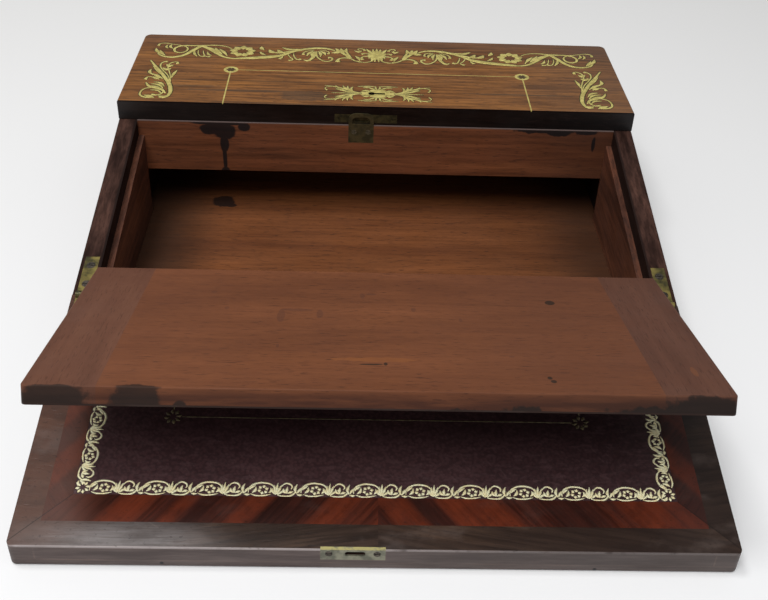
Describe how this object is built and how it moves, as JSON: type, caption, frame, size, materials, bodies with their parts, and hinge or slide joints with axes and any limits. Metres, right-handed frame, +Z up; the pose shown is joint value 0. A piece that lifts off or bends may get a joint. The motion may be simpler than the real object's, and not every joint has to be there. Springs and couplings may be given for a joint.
{
  "type": "writing slope",
  "caption": "Portable wooden writing box opened into a sloping desk: folding leather-topped leaf, inner flap half raised, and a brass-inlaid lid over the pen compartment.",
  "frame": {"origin": "on the table, under the middle of the box as it lies opened (leaf folded out to the front)", "axes": "+X to the right of someone writing at it, +Y away from them towards the pen compartment, +Z up; the base lies on z = 0"},
  "size_m": [0.35, 0.4342, 0.0927],
  "materials": {
    "rosewood_lid": "polished rosewood veneer",
    "rosewood_rails": "dark polished rosewood",
    "rosewood_banding": "dark polished rosewood crossbanding",
    "kingwood_banding": "polished kingwood banding",
    "mahogany": "oiled mahogany",
    "mahogany_flap": "worn mahogany",
    "cedar": "plain red wood",
    "tooled_leather": "plum leather with gilt tooling",
    "brass_inlay": "worn inlaid brass",
    "lock_brass": "dull brass",
    "hinge_brass": "tarnished brass",
    "pin_steel": "plain steel",
    "screw_steel": "darkened steel"
  },
  "bodies": {
    "box": {"bottom_board": "cedar", "left_side": "rosewood_rails", "right_side": "rosewood_rails", "front_wall": "mahogany", "back_wall": "mahogany", "left_lining": "mahogany", "right_lining": "mahogany", "partition": "mahogany", "pen_floor": "cedar", "ink_well_divider_left": "mahogany", "ink_well_divider_right": "mahogany", "pen_tray": "mahogany", "staple_plate": "lock_brass", "staple_screws": "screw_steel", "leaf_hinge_left_box_plate": "hinge_brass", "leaf_hinge_right_box_plate": "hinge_brass", "leaf_hinge_pins": "pin_steel", "leaf_hinge_box_screws": "screw_steel", "flap_hinge_left_wall_plate": "hinge_brass", "flap_hinge_right_wall_plate": "hinge_brass", "flap_hinge_pins": "pin_steel", "flap_hinge_wall_screws": "screw_steel", "lid_hinge_left_box_plate": "hinge_brass", "lid_hinge_right_box_plate": "hinge_brass", "lid_hinge_pins": "pin_steel", "lid_hinge_box_screws": "screw_steel"},
    "leaf": {"leaf_outer_board": "rosewood_rails", "leaf_left_side": "rosewood_rails", "leaf_right_side": "rosewood_rails", "leaf_end_rail": "rosewood_rails", "leaf_hinge_rail": "rosewood_rails", "leaf_panel": "mahogany", "leaf_outer_banding": "rosewood_banding", "leaf_inner_banding": "kingwood_banding", "leaf_leather": "tooled_leather", "leaf_lock_plate": "lock_brass", "leaf_lock_screws": "screw_steel", "leaf_hinge_left_leaf_plate": "hinge_brass", "leaf_hinge_right_leaf_plate": "hinge_brass", "leaf_hinge_leaf_screws": "screw_steel"},
    "flap": {"flap_panel": "mahogany_flap", "flap_left_cleat": "mahogany_flap", "flap_right_cleat": "mahogany_flap", "flap_banding": "kingwood_banding", "flap_leather": "tooled_leather", "flap_hinge_left_flap_plate": "hinge_brass", "flap_hinge_right_flap_plate": "hinge_brass", "flap_hinge_flap_screws": "screw_steel"},
    "lid": {"lid_board": "rosewood_lid", "lid_veneer": "rosewood_lid", "lid_strings": "brass_inlay", "lid_rosettes": "brass_inlay", "escutcheon": "brass_inlay", "lock_selvedge": "lock_brass", "lock_case": "lock_brass", "lock_screws": "screw_steel", "lid_hinge_left_lid_plate": "hinge_brass", "lid_hinge_right_lid_plate": "hinge_brass", "lid_hinge_lid_screws": "screw_steel"},
    "bolt": {"lock_bolt": "lock_brass"}
  },
  "joints": [
    {"name": "leaf_fold", "type": "hinge", "parent": "box", "child": "leaf", "pos_m": [0, -0.0599, 0.045], "axis": [-1, 0, 0], "range_deg": [0, 180]},
    {"name": "flap_fold", "type": "hinge", "parent": "box", "child": "flap", "pos_m": [0, -0.05075, 0.04681], "axis": [-1, 0, 0], "range_deg": [0, 154.7]},
    {"name": "lid_lift", "type": "hinge", "parent": "box", "child": "lid", "pos_m": [0, 0.2152, 0.07643], "axis": [-1, 0, 0], "range_deg": [0, 100]},
    {"name": "bolt_throw", "type": "slide", "parent": "lid", "child": "bolt", "axis": [0, -1, 0], "range_m": [0, 0.0056]}
  ],
  "couplings": [
    {"joint": "flap_fold", "follows": "leaf_fold", "ratio": 0.85944}
  ]
}
